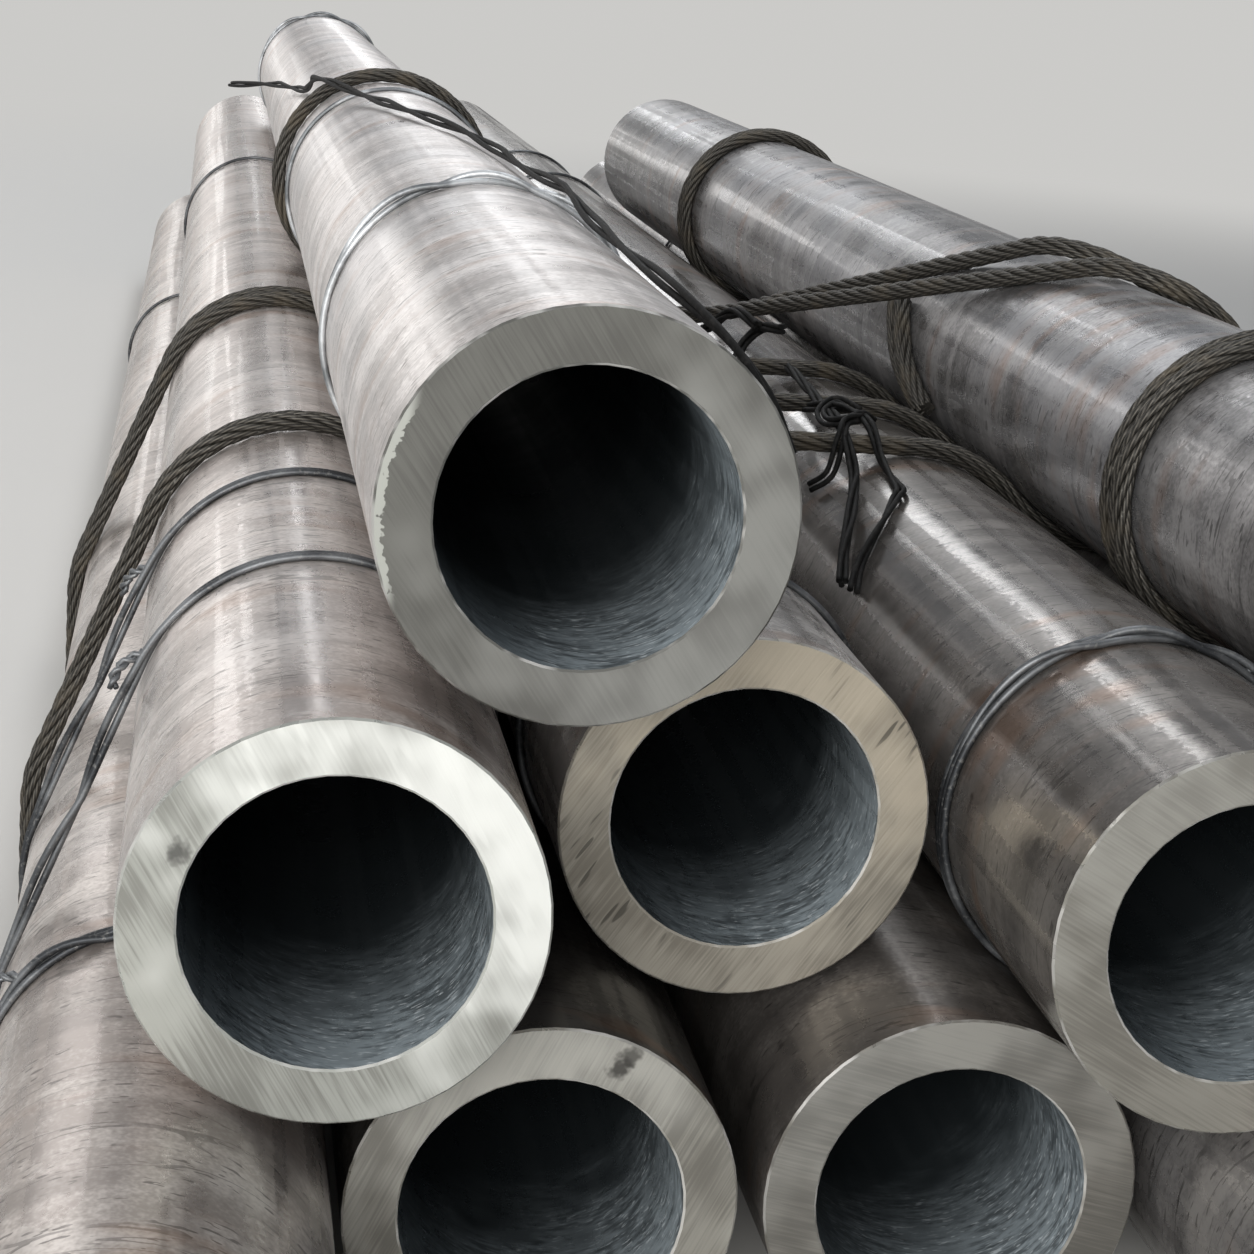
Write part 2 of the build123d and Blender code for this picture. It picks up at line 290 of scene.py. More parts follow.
class PipeFinish:
    """Mill scale outside, saw-cut steel on the ends and a drawn bore with painted shade deeper in, told
    apart by place.
    """

    def __init__(self, pipe):
        self.pipe = pipe
        self.skin_look, self.face_look = LOOKS.get(pipe.node, OTHER_LOOK)
        self.seed = 3.0 * (sorted(PIPES).index(pipe.node) + 1)
        self.n = n = Nodes(bpy.data.materials.new(pipe.node))
        place = n.add("ShaderNodeTexCoord").outputs["Object"]
        self.here = n.vector("SUBTRACT", place, (pipe.x, 0.0, pipe.z))
        parts = n.add("ShaderNodeSeparateXYZ")
        n.put(self.here, parts.inputs[0])
        self.x, self.y, self.z = parts.outputs
        self.section = n.combine(self.x, 0.0, self.z)
        self.radius = n.vector("LENGTH", self.section)
        self.rolled = self.leaning(0.22)
        # what more than one layer of the finish uses
        self.rings = self.grain(2.2, 11.0, 2.0)
        self.fine_rings = self.grain(9.0, 75.0, 0.0, 0.5, 1.7)
        self.speckle = self.grain(230.0, 230.0, 1.0, 0.7, 0.3)
        self.mottle = self.grain(26.0, 30.0, 2.0, 0.7, 2.9)
        self.streaks = self.grain(60.0, 0.8, 1.0, 0.65, 6.3, self.here)
        self.sawn = self.saw_place()
        self.marks = n.noise(n.vector("MULTIPLY", self.sawn, (520.0, 16.0, 1.0)), 1.0, 1.0)
        self.flat = n.vector("ADD", self.section, (0.0, self.seed, 0.0))
        self.patch = n.noise(self.flat, 11.0, 2.0, 0.66)

    def leaning(self, slope):
        """Places for marks that run slantwise round the pipe and meet below without a seam."""
        return self.n.combine(self.x, self.n.mad(self.x, slope, self.y), self.z)

    def grain(self, across, along, detail, roughness=0.55, shift=0.0, way=None):
        """Noise stretched round or along the pipe; the seed gives each pipe a pattern of its own."""
        way = self.rolled if way is None else way
        place = self.n.vector("MULTIPLY_ADD", way, (across, along, across), (self.seed + shift, 0.0, 0.0))
        return self.n.noise(place, 1.0, detail, roughness)

    def saw_place(self):
        """Places across and along the saw's marks on an end face."""
        n = self.n
        lean = radians(self.face_look.saw_angle)
        across = n.vector("DOT_PRODUCT", self.here, (cos(lean), 0.0, sin(lean)))
        along = n.vector("DOT_PRODUCT", self.here, (-sin(lean), 0.0, cos(lean)))
        return n.combine(across, along, self.seed)

    def towards(self, degrees, reach):
        """How far to one side of the axis a place lies, as a share of the reach."""
        way = (cos(radians(degrees)) / reach, 0.0, sin(radians(degrees)) / reach)
        return self.n.vector("DOT_PRODUCT", self.here, way)

    def skin(self):
        """Uneven rings from rolling, cloudy scale, pores, dark dashes and rust."""
        n = self.n
        look = self.skin_look
        ring_lines = self.grain(3.2, 34.0, 1.0, 0.6, 15.2)
        cloud = self.grain(4.0, 3.0, 2.0, 0.66, 4.1)
        rust = self.grain(5.0, 13.0, 2.0, 0.76, 9.0)
        tone = n.mad(self.speckle, 0.20, n.times(self.mottle, 0.20))
        tone = n.mad(cloud, 0.24, n.mad(self.fine_rings, 0.06, tone))
        tone = n.mad(self.rings, 0.30, tone)
        colour = n.mix(n.band(tone, 0.41, 0.59), look.dark, look.light)
        colour = n.mix(n.times(n.band(rust, 0.50, 0.36), 0.42), colour, darker(look.dark, 0.62))
        colour = n.mix(n.times(n.band(cloud, 0.50, 0.68), look.blue), colour, BLUE_SCALE)
        line = n.math("COMPARE", ring_lines, 0.5, third=0.007)
        dash = n.band(self.grain(60.0, 240.0, 1.0, 0.5), 0.64, 0.68)
        patchy = n.times(n.band(self.mottle, 0.38, 0.54), 0.7)
        flaw = n.times(n.math("MAXIMUM", n.times(line, 0.8), dash), patchy)
        colour = n.mix(flaw, colour, darker(look.dark, 0.30))
        return n.mix(n.times(n.band(rust, 0.56, 0.72), 0.34), colour, RUST)

    def end_face(self):
        """Fine saw marks in one direction and brushed patches, with a painted highlight and painted glints
        on one side.
        """
        n = self.n
        look = self.face_look
        tone = n.mad(self.marks, 0.34, n.times(self.patch, 0.66))
        colour = n.mix(n.band(tone, 0.40, 0.60), look.dark, look.light)
        # painted highlight: the face is drawn lighter towards one side, broken up by its brushed patches
        lit = n.mad(self.patch, 1.3, self.towards(look.bright_side, self.pipe.radius / 0.35))
        colour = n.mix(n.times(n.band(lit, 0.50, 1.05), look.bright), colour, look.bright_colour)
        # painted glints: bright strokes, only on that painted-lit side
        if look.bright * look.contrast > 0.5:
            strokes = n.noise(n.vector("MULTIPLY", self.sawn, (95.0, 15.0, 2.0)), 1.0, 2.0)
            strokes = n.times(n.band(strokes, 0.50, 0.62), n.band(lit, 0.62, 0.95))
            colour = n.mix(n.times(strokes, 0.65), colour, PALE_FACE_HIGHLIGHT)
        if look.contrast > 0.9:
            dents = n.noise(n.vector("MULTIPLY", self.sawn, (150.0, 22.0, 3.0)), 1.0, 1.0)
            dents = n.times(n.band(dents, 0.62, 0.67), n.band(self.patch, 0.58, 0.44))
            colour = n.mix(n.times(dents, 0.75), colour, darker(look.dark, 0.30))
        return self.burr(self.stains(colour))

    def stains(self, colour):
        n = self.n
        for x, z, size, stain, strength in SPOTS.get(self.pipe.node, ()):
            off = n.vector("LENGTH", n.vector("SUBTRACT", self.section, (x, 0.0, z)))
            off = n.mad(n.noise(self.flat, 90.0, 2.0, 0.7), 2.2 * size, off)
            colour = n.mix(n.times(n.band(off, 2.4 * size, 1.5 * size), strength), colour, stain)
        return colour

    def burr(self, colour):
        if self.pipe.node not in BURRS:
            return colour
        n = self.n
        side, half_width, depth = BURRS[self.pipe.node]
        flaky = n.noise(n.vector("ADD", self.flat, (0.0, 2.0, 0.0)), 120.0, 2.0, 0.75)
        start = self.pipe.radius - depth + BURR_RAGGED / 2
        outer = n.band(n.mad(flaky, BURR_RAGGED, self.radius), start, start + 0.001)
        beside = n.band(self.towards(side, self.pipe.radius),
                        cos(radians(half_width + BURR_FADE)), cos(radians(half_width)))
        flakes = n.times(n.times(outer, beside), n.band(flaky, 0.33, 0.40))
        return n.mix(flakes, colour, BURR_COLOUR)

    def bore(self):
        """Brushed blue-grey scale with fine bright marks near the mouth; painted shade turns it near black
        deeper in, and painted light makes it lightest on one side.
        """
        n = self.n
        drawn = self.leaning(0.35)
        brushed = self.grain(46.0, 180.0, 2.0, 0.75, 3.3, drawn)
        flecks = self.grain(110.0, 420.0, 1.0, 0.6, 5.9, drawn)
        haze = self.grain(13.0, 15.0, 2.0, 0.7, 8.2, drawn)
        depth = n.mad(haze, 0.22, n.math("SUBTRACT", self.y, self.pipe.start))
        # painted shade: the bore turns dark deeper in from the mouth
        near_mouth = n.math("POWER", n.band(depth, *BORE_SHADE_FADES), 1.25)
        worn = n.band(n.math("ADD", brushed, haze), 0.76, 1.16)
        # painted light: the mouth and its marks are made lighter towards one side of the bore
        lit_side = n.band(self.towards(BORE_PAINTED_LIGHT_SIDE, self.pipe.bore), -0.6, 0.6)
        mouth = n.times(n.times(near_mouth, n.mad(worn, 0.75, 0.25)), n.mad(lit_side, 0.65, 0.35))
        flecks = n.times(n.band(flecks, 0.60, 0.72), n.band(depth, *MARKS_FADE))
        flecks = n.times(flecks, n.mad(lit_side, 0.5, 0.15))
        return n.mix(flecks, n.mix(mouth, BORE_SHADE, BORE_LIT_SCALE), BORE_MARK)

    def roughness(self, is_face, rubbed):
        n = self.n
        gloss = self.skin_look.gloss
        skin = n.mad(rubbed, -0.12 - 0.08 * gloss, 0.20 - 0.20 * gloss)
        skin = n.mad(self.rings, 0.30, n.mad(self.mottle, 0.22, skin))
        return n.blend(is_face, skin, n.mad(self.patch, 0.25, 0.36))

    def relief(self, is_face):
        n = self.n
        skin = n.mad(self.speckle, 0.14, n.times(self.streaks, 0.9 * self.skin_look.streaky))
        skin = n.mad(self.fine_rings, 0.35, skin)
        face = n.times(self.marks, 0.4 * self.face_look.contrast)
        return n.bump(n.blend(is_face, skin, face), 0.35, 0.0008)

    def coat(self, is_end, rubbed, relief):
        """A thin shine on the skin, strongest where it is rubbed."""
        n = self.n
        gloss = self.skin_look.gloss
        weight = n.times(n.math("SUBTRACT", 1.0, is_end), n.mad(rubbed, 0.30 * gloss, 0.08 * gloss))
        n.put(weight, n.shader.inputs["Coat Weight"])
        n.put(relief, n.shader.inputs["Coat Normal"])
        n.put(COAT_ROUGHNESS, n.shader.inputs["Coat Roughness"])

    def material(self):
        """The whole material; bore and skin are told apart halfway through the wall."""
        n = self.n
        normal = n.add("ShaderNodeNewGeometry").outputs["True Normal"]
        end_on = n.math("ABSOLUTE", n.vector("DOT_PRODUCT", normal, (0.0, 1.0, 0.0)))
        is_end = n.band(end_on, 0.30, 0.40)
        is_face = n.band(end_on, 0.85, 0.95)
        outside = n.math("GREATER_THAN", self.radius, self.pipe.radius - self.pipe.wall / 2)
        # lengthwise bands that rubbing has polished
        rubbed = n.band(n.mad(self.speckle, 0.25, self.streaks), 0.56, 0.68)
        edge = n.mix(n.times(n.band(self.mottle, 0.42, 0.62), 0.6), self.face_look.light, BARE_STEEL)
        colour = n.mix(is_end, n.mix(outside, self.bore(), self.skin()), edge)
        colour = n.mix(is_face, colour, self.end_face())
        relief = self.relief(is_face)
        if self.skin_look.gloss:
            self.coat(is_end, rubbed, relief)
        metallic = n.mad(n.math("MAXIMUM", outside, is_face), 0.43, 0.15)
        return n.shade(colour, self.roughness(is_face, rubbed), metallic)


# routes of the ropes

def tangent(first, second):
    """Ends of the straight run from one circle to the next; a circle is (x, z, radius, sense)."""
    x1, z1, r1, sense1 = first
    x2, z2, r2, sense2 = second
    dx = x2 - x1
    dz = z2 - z1
    lean = max(-1.0, min(1.0, (sense1 * r1 - sense2 * r2) / hypot(dx, dz)))
    normal = atan2(dz, dx) + acos(lean)
    leave = (x1 + sense1 * r1 * cos(normal), z1 + sense1 * r1 * sin(normal))
    meet = (x2 + sense2 * r2 * cos(normal), z2 + sense2 * r2 * sin(normal))
    return leave, meet


def straight(start, end, step=STRAIGHT_STEP):
    """Points from start up to, but without, the end."""
    count = max(1, round((end - start).length / step))
    return [start.lerp(end, index / count) for index in range(count)]


def taut_run(y, leave, meet, step=STRAIGHT_STEP):
    """Points of the straight run between two circles, or none where they all but touch."""
    if hypot(meet[0] - leave[0], meet[1] - leave[1]) <= SHORTEST_RUN:
        return []
    return straight(Vector((leave[0], y, leave[1])), Vector((meet[0], y, meet[1])), step)


ALL_BUT_ROUND = 6.2          # radians; only rounding gives a run so long, and it stands for none


def round_circle(circle, start, end, y, step=ROPE_STEP):
    """Points along the rope's run round one circle, without its end."""
    x, z, radius, sense = circle
    first = atan2(start[1] - z, start[0] - x)
    last = atan2(end[1] - z, end[0] - x)
    turned = (sense * (first - last)) % (2 * pi)
    if turned > ALL_BUT_ROUND:
        turned = 0.0
    count = max(1, round(turned * radius / step))
    angles = [first - sense * turned * index / count for index in range(count)]
    return [Vector((x + radius * cos(a), y, z + radius * sin(a))) for a in angles]


def square_run(y, start, circles, end):
    """Points of a taut run over circles in the plane of one y, without its end."""
    stops = [(*start, 0.0, 1)] + circles + [(*end, 0.0, 1)]
    straights = [tangent(before, after) for before, after in zip(stops, stops[1:])]
    points = []
    for index, (leave, meet) in enumerate(straights):
        points += taut_run(y, leave, meet)
        if index < len(circles):
            points += round_circle(circles[index], meet, straights[index + 1][0], y)
    return points


def rope_lay(pipe, sense=1):
    """The circle that a rope's centre line follows on a pipe."""
    return (pipe.x, pipe.z, pipe.radius + SEAT_CLEARANCE + ROPE_D / 2, sense)


def wire_lay(pipe, sense=1):
    """The same for a tie wire."""
    return (pipe.x, pipe.z, pipe.radius + SEAT_CLEARANCE + WIRE_D / 2, sense)


def rope_ring(pipe, y):
    """Points of a rope once round a pipe, from below."""
    lay = rope_lay(pipe)[2]
    count = round(2 * pi * lay / ROPE_STEP)
    angles = [2 * pi * index / count + pi for index in range(count)]
    return [Vector((pipe.x + lay * sin(a), y, pipe.z + lay * cos(a))) for a in angles]


# tubes and strands

def sides(points, closed):
    """Two directions across the line at each point, twisting as little as they can, and the way so far."""
    count = len(points)
    across = []
    travelled = [0.0]
    last = None
    for index in range(count):
        ahead = points[(index + 1) % count] if closed or index + 1 < count else points[index]
        behind = points[index - 1] if closed or index else points[index]
        way = (ahead - behind).normalized()
        if last is None:
            last = way.orthogonal()
        last = (last - way * last.dot(way)).normalized()
        across.append((last.copy(), way.cross(last).normalized()))
        if index:
            travelled.append(travelled[-1] + (points[index] - points[index - 1]).length)
    return across, travelled


def add_tube(mesh, points, radius, segments, closed=False):
    """A round tube along points, with U along it and V round it."""
    across, travelled = sides(points, closed)
    uv = mesh.loops.layers.uv.verify()
    rings = []
    for point, (first, second) in zip(points, across):
        ring = []
        for index in range(segments):
            angle = 2 * pi * index / segments
            off = first * (radius * cos(angle)) + second * (radius * sin(angle))
            ring.append(mesh.verts.new(point + off))
        rings.append(ring)
    steps = list(zip(rings, rings[1:], travelled, travelled[1:]))
    if closed:
        whole = travelled[-1] + (points[0] - points[-1]).length
        steps.append((rings[-1], rings[0], travelled[-1], whole))
    for before, after, start, end in steps:
        for index in range(segments):
            after_index = (index + 1) % segments
            face = mesh.faces.new((before[index], before[after_index], after[after_index], after[index]))
            face.smooth = True
            low = index / segments
            high = (index + 1) / segments
            for loop, place in zip(face.loops, ((start, low), (start, high), (end, high), (end, low))):
                loop[uv].uv = place
    if not closed:
        mesh.faces.new(list(reversed(rings[0])))
        mesh.faces.new(rings[-1])


def add_strands(mesh, points, closed=False):
    """Strands laid round a core along a rope's centre line."""
    across, travelled = sides(points, closed)
    whole = travelled[-1] + ((points[0] - points[-1]).length if closed else 0.0)
    turns = max(1, round(whole / ROPE_LAY_LENGTH)) if closed else whole / ROPE_LAY_LENGTH
    for strand in range(STRANDS):
        line = []
        for point, (first, second), gone in zip(points, across, travelled):
            angle = 2 * pi * (strand / STRANDS + turns * gone / whole)
            line.append(point + (first * cos(angle) + second * sin(angle)) * (2 * STRAND_R))
        add_tube(mesh, line, STRAND_R * STRAND_SWELL, STRAND_SIDES, closed)
    add_tube(mesh, points, STRAND_R, CORE_SIDES, closed)


def piece(name, build, material, nodes=()):
    """One visible piece from mesh code, riding on the stack's one body."""
    mesh = bmesh.new()
    build(mesh)
    data = bpy.data.meshes.new(name)
    mesh.to_mesh(data)
    mesh.free()
    data.materials.append(material)
    obj = bpy.data.objects.new(name, data)
    bpy.context.scene.collection.objects.link(obj)
    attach(obj, "root")
    if nodes:
        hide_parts(*nodes)


# finishes of ropes and wires
ROPE_GROOVE_SHADE = (0.028, 0.026, 0.023)
ROPE_WIRE = (0.102, 0.094, 0.081)
ROPE_DUST = (0.135, 0.112, 0.080)
ROPE_WORN = (0.26, 0.25, 0.225)
WIRES_ALONG = 90.0           # wires that cross a strand's side in a metre
WIRES_ROUND = 6.0
BLACK = (0.004, 0.004, 0.004)
SOOTY = (0.022, 0.021, 0.020)
# iron wire, dark and rubbed
IRON = ((0.040, 0.043, 0.048), (0.17, 0.178, 0.188))
BRIGHT_IRON = ((0.16, 0.17, 0.18), (0.55, 0.57, 0.59))
WIRE_SPECK = (0.36, 0.355, 0.34)


def rope_material():
    """Greased, weathered strands with the slanting lines of their wires, and painted shade in the grooves
    between them.
    """
    n = Nodes(bpy.data.materials.new("rope_strands"))
    uv = n.add("ShaderNodeSeparateXYZ")
    n.put(n.add("ShaderNodeTexCoord").outputs["UV"], uv.inputs[0])
    turns = n.math("ADD", n.times(uv.outputs[0], WIRES_ALONG), n.times(uv.outputs[1], WIRES_ROUND))
    wires = n.math("SINE", n.times(turns, 2 * pi))
    place = n.add("ShaderNodeTexCoord").outputs["Object"]
    grime = n.noise(place, 22.0, 4.0)
    fine = n.noise(place, 240.0, 2.0)
    # painted shade: darker in the grooves between the wires
    colour = n.mix(n.band(wires, -0.4, 0.9), ROPE_GROOVE_SHADE, ROPE_WIRE)
    colour = n.mix(n.times(n.band(grime, 0.50, 0.70), 0.5), colour, ROPE_DUST)
    colour = n.mix(n.times(n.band(fine, 0.60, 0.75), 0.35), colour, ROPE_WORN)
    n.bump(wires, 0.35, 0.0005)
    return n.shade(colour, n.mad(grime, 0.35, 0.38), 0.55)


def black_material():
    """Burnt black iron wire."""
    n = Nodes(bpy.data.materials.new("black_wire"))
    fine = n.noise(n.add("ShaderNodeTexCoord").outputs["Object"], 160.0, 3.0)
    colour = n.mix(n.band(fine, 0.45, 0.72), BLACK, SOOTY)
    n.bump(fine, 0.6, 0.001)
    n.shader.inputs["Specular IOR Level"].default_value = 0.2
    return n.shade(colour, n.mad(fine, 0.4, 0.50), 0.0)


def wire_material(name, dark, light):
    """Iron wire with rubbed bright stretches."""
    n = Nodes(bpy.data.materials.new(name))
    place = n.add("ShaderNodeTexCoord").outputs["Object"]
    rub = n.noise(place, 14.0, 4.0)
    fine = n.noise(place, 300.0, 2.0)
    colour = n.mix(n.band(rub, 0.40, 0.62), dark, light)
    colour = n.mix(n.times(n.band(fine, 0.55, 0.7), 0.3), colour, WIRE_SPECK)
    return n.shade(colour, n.mad(fine, 0.3, 0.33), 0.7)


# the pipes keep their solids

for pipe in PIPES.values():
    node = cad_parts[pipe.node]
    finish = PipeFinish(pipe).material()
    if not node.material_slots:
        node.data.materials.append(finish)
    for material_slot in node.material_slots:
        material_slot.material = finish

rope_look = rope_material()
wire_look = wire_material("iron_wire", *IRON)
bright_wire_look = wire_material("bright_wire", *BRIGHT_IRON)
black_look = black_material()

# tie wires round single pipes: pipe, then places along Y with their turns
TIES = {
    "ties_middle_1": (MIDDLE_1, ((3.600, 1),)),
    "ties_middle_2": (MIDDLE_2, ((0.430, 1), (3.500, 1))),
    "ties_middle_3": (MIDDLE_3, ((0.240, 3), (3.650, 1), (4.150, 1))),
    "ties_middle_4": (MIDDLE_4, ((0.300, 1), (3.550, 1))),
    "ties_top_1": (TOP_1, ((0.765, 2), (1.960, 1), (4.450, 2))),
    "ties_floor_1": (FLOOR_1, ((0.280, 3), (3.450, 1))),
}
PAIR_TIES = ((0.405, 2), (0.700, 2))
# half turns that two turns of one tie make about each other, within an angle of the pipe's crest
HALF_TURNS = 3
CROSSES_WITHIN = radians(75)
PAIR_HALF_TURNS = 2


def smooth(value):
    value = max(0.0, min(1.0, value))
    return value * value * (3 - 2 * value)


def crossing(count, turn, share, half_turns=HALF_TURNS):
    """How far a turn of a tie stands past its first one along Y and off the pipe, at a share of the way.

    The first two turns go about each other, and any further one lies straight beside them.
    """
    if count < 2 or turn > 1:
        return WIRE_PITCH * turn, 0.0
    twist = pi * half_turns * smooth(share)
    reach = WIRE_PITCH / 2
    sign = 1 if turn else -1
    return reach + sign * reach * cos(twist), reach * (abs(sin(twist)) + sign * sin(twist))


def wire_ring(pipe, y, count, turn):
    """One turn of a tie round a pipe; it crosses its neighbour over the top of the pipe."""
    lay = wire_lay(pipe)[2]
    steps = round(2 * pi * lay / WIRE_STEP)
    points = []
    for index in range(steps):
        angle = -pi + 2 * pi * index / steps
        along, lift = crossing(count, turn, (angle + CROSSES_WITHIN) / (2 * CROSSES_WITHIN))
        out = lay + lift
        points.append(Vector((pipe.x + out * sin(angle), NEAR + y + along, pipe.z + out * cos(angle))))
    return points


def closed_run(y, circles):
    """Points of a taut loop over circles in the plane of one y."""
    straights = [tangent(before, after) for before, after in zip(circles, circles[1:] + circles[:1])]
    points = []
    for index, (leave, meet) in enumerate(straights):
        points += round_circle(circles[index], straights[index - 1][1], leave, y, WIRE_STEP)
        points += taut_run(y, leave, meet, PAIR_STEP)
    return points


def tie_rings(mesh, pipe, places):
    for y, count in places:
        for turn in range(count):
            add_tube(mesh, wire_ring(pipe, y, count, turn), WIRE_D / 2, WIRE_SIDES, closed=True)


for name, rest in TIES.items():
    finish = bright_wire_look if rest[0] is TOP_1 else wire_look
    piece("wires_" + name.removeprefix("ties_"), lambda mesh, rest=rest: tie_rings(mesh, *rest),
          finish, [name])

ROUND_THE_PAIR = [wire_lay(MIDDLE_1), wire_lay(PIPES["pipe_floor_2"], -1), wire_lay(FLOOR_1)]
# the stretch of those loops, from the left flank of the lower pipe to the top of the upper one,
# over which the two wires cross
PAIR_CROSSES = (FLOOR_1.z, MIDDLE_1.z + 0.12)
PAIR_OUTWARD = (-0.9, 0.4)   # x and z of the way in which one of them lifts off to cross


def pair_loops(mesh):
    low, high = PAIR_CROSSES
    for y, count in PAIR_TIES:
        for turn in range(count):
            moved = []
            for point in closed_run(NEAR + y, ROUND_THE_PAIR):
                share = (point.z - low) / (high - low) if point.x < MIDDLE_1.x else 1.0
                along, lift = crossing(count, turn, share, PAIR_HALF_TURNS)
                moved.append(point + Vector((lift * PAIR_OUTWARD[0], along, lift * PAIR_OUTWARD[1])))
            add_tube(mesh, moved, WIRE_D / 2, WIRE_SIDES, closed=True)


piece("wires_left_pair", pair_loops, wire_look, ["ties_left_pair"])

# ropes round the top pipes
ROPE_LOOPS = {
    "rope_loops_top_1": (TOP_1, ((2.150, 1),)),
    "rope_loops_top_2": (TOP_2, ((0.520, 2), (2.560, 2))),
}


def rope_rings(mesh, pipe, places):
    for y, count in places:
        for turn in range(count):
            add_strands(mesh, rope_ring(pipe, NEAR + y + ROPE_PITCH * turn), closed=True)


for name, rest in ROPE_LOOPS.items():
    piece("stranded_" + name.removeprefix("rope_"), lambda mesh, rest=rest: rope_rings(mesh, *rest),
          rope_look, [name])

# slings across the stack: places along Y, and for each that slants over the right top pipe its
# place at the left, its shift at the right and how far left of the third pipe's centre it turns
SLING_ACROSS = 0.895
SLING_2_FROM_VALLEY = 1.105
SLING_3_FROM_VALLEY = 1.330
VALLEY_ANGLE = radians(15.0)
SLINGS_OVER = {
    "sling_4": (1.712, 0.115, 0.045),
    "sling_5": (1.668, -0.025, 0.105),
}
TURN_REACH = 0.058
BEFORE_TURN = 0.005          # left out between a run and the arc that follows it
SHOULDER_ANGLE = radians(30.0)
TOP_LAY = rope_lay(TOP_1)[2]
LEFT_END = (FLOOR_1.x - rope_lay(FLOOR_1)[2], ROPE_D)
RIGHT_END = (FLOOR_5.x + rope_lay(FLOOR_5)[2], ROPE_D)
VALLEY_END = (TOP_1.x - TOP_LAY * sin(VALLEY_ANGLE), TOP_1.z - TOP_LAY * cos(VALLEY_ANGLE))
UP_THE_LEFT = [rope_lay(FLOOR_1), rope_lay(MIDDLE_1)]
UNDER_TOP_1 = [rope_lay(TOP_1, -1), rope_lay(MIDDLE_2)]
UNDER_TOP_2 = [rope_lay(MIDDLE_3), rope_lay(TOP_2, -1), rope_lay(MIDDLE_4)]
UNDER_BOTH = UNDER_TOP_1 + UNDER_TOP_2 + [rope_lay(FLOOR_5)]
DOWN_THE_RIGHT = [rope_lay(TOP_2), rope_lay(FLOOR_5)]


def bend(before, at, after, reach):
    """Points of an arc that rounds a corner, from the reach before it to the reach past it."""
    back = (before - at).normalized()
    ahead = (after - at).normalized()
    half = back.angle(ahead) / 2
    radius = reach * tan(half)
    inward = (back + ahead).normalized()
    middle = at + inward * (radius / sin(half))
    out = -inward
    side = (ahead - back).normalized()
    sweep = pi / 2 - half
    count = max(4, round(2 * sweep * radius / ROPE_STEP))
    angles = [-sweep + 2 * sweep * index / count for index in range(count + 1)]
    return [middle + (out * cos(a) + side * sin(a)) * radius for a in angles]


def sling_over(left_y, right_y, turn_offset):
    """Points of a sling that slants from the left to its place over the right top pipe."""
    turn_at = (MIDDLE_3.x - turn_offset, MIDDLE_2.z + rope_lay(MIDDLE_2)[2])
    left = square_run(NEAR + left_y, LEFT_END, UP_THE_LEFT + UNDER_TOP_1, turn_at)
    lay = rope_lay(TOP_2)
    touch = tangent((*turn_at, 0.0, 1), lay)[1]
    touch_angle = atan2(touch[0] - TOP_2.x, touch[1] - TOP_2.z)
    half = (SHOULDER_ANGLE - touch_angle) / 2
    peak = lay[2] / cos(half)
    over = (TOP_2.x + peak * sin(touch_angle + half), TOP_2.z + peak * cos(touch_angle + half))
    right = square_run(NEAR + right_y, over, DOWN_THE_RIGHT, RIGHT_END)
    shoulder = tangent((*over, 0.0, 1), lay)[1]
    shoulder = Vector((shoulder[0], NEAR + right_y, shoulder[1]))
    first = Vector((turn_at[0], NEAR + left_y, turn_at[1]))
    second = Vector((over[0], NEAR + right_y, over[1]))
    turn = bend(left[-1], first, second, TURN_REACH)
    crest = bend(first, second, shoulder, (shoulder - second).length)
    kept = [point for point in left
            if (point - first).length > TURN_REACH or point.x < turn[0].x - BEFORE_TURN]
    rest = [point for point in right if point.x > shoulder.x and point != shoulder]
    return kept + turn[:-1] + straight(turn[-1], crest[0]) + crest[:-1] + rest


SLINGS = {
    "sling_1": square_run(NEAR + SLING_ACROSS, LEFT_END, UP_THE_LEFT + UNDER_BOTH, RIGHT_END),
    "sling_2": square_run(NEAR + SLING_2_FROM_VALLEY, VALLEY_END, UNDER_BOTH, RIGHT_END),
    "sling_3": square_run(NEAR + SLING_3_FROM_VALLEY, VALLEY_END, UNDER_BOTH, RIGHT_END),
}
for name, (left_y, right_shift, turn_offset) in SLINGS_OVER.items():
    SLINGS[name] = sling_over(left_y, SLING_ACROSS + right_shift, turn_offset)
for name, points in SLINGS.items():
    piece("stranded_" + name, lambda mesh, points=points: add_strands(mesh, points), rope_look,
          [name])


# loose wire ends and knots

def spline(points, step):
    """A smooth line through a few points."""
    line = []
    ends = [points[0] * 2 - points[1]] + list(points) + [points[-1] * 2 - points[-2]]
    for a, b, c, d in zip(ends, ends[1:], ends[2:], ends[3:]):
        count = max(2, round((c - b).length / step))
        for index in range(count):
            t = index / count
            line.append(0.5 * (2 * b + (c - a) * t + (2 * a - 5 * b + 4 * c - d) * t * t
                               + (3 * b - a - 3 * c + d) * t * t * t))
    line.append(points[-1])
    return line


def on_pipe(pipe, y, angle, lift):
    """A place over a pipe's skin, with the angle in degrees to the right of its crest."""
    out = pipe.radius + lift
    return Vector((pipe.x + out * sin(radians(angle)), NEAR + y, pipe.z + out * cos(radians(angle))))


# how the gap between twisted wires swells and shrinks: its share, waves along them and for each wire
UNEVEN = 0.25
UNEVEN_ALONG = 23
UNEVEN_NEXT = 2


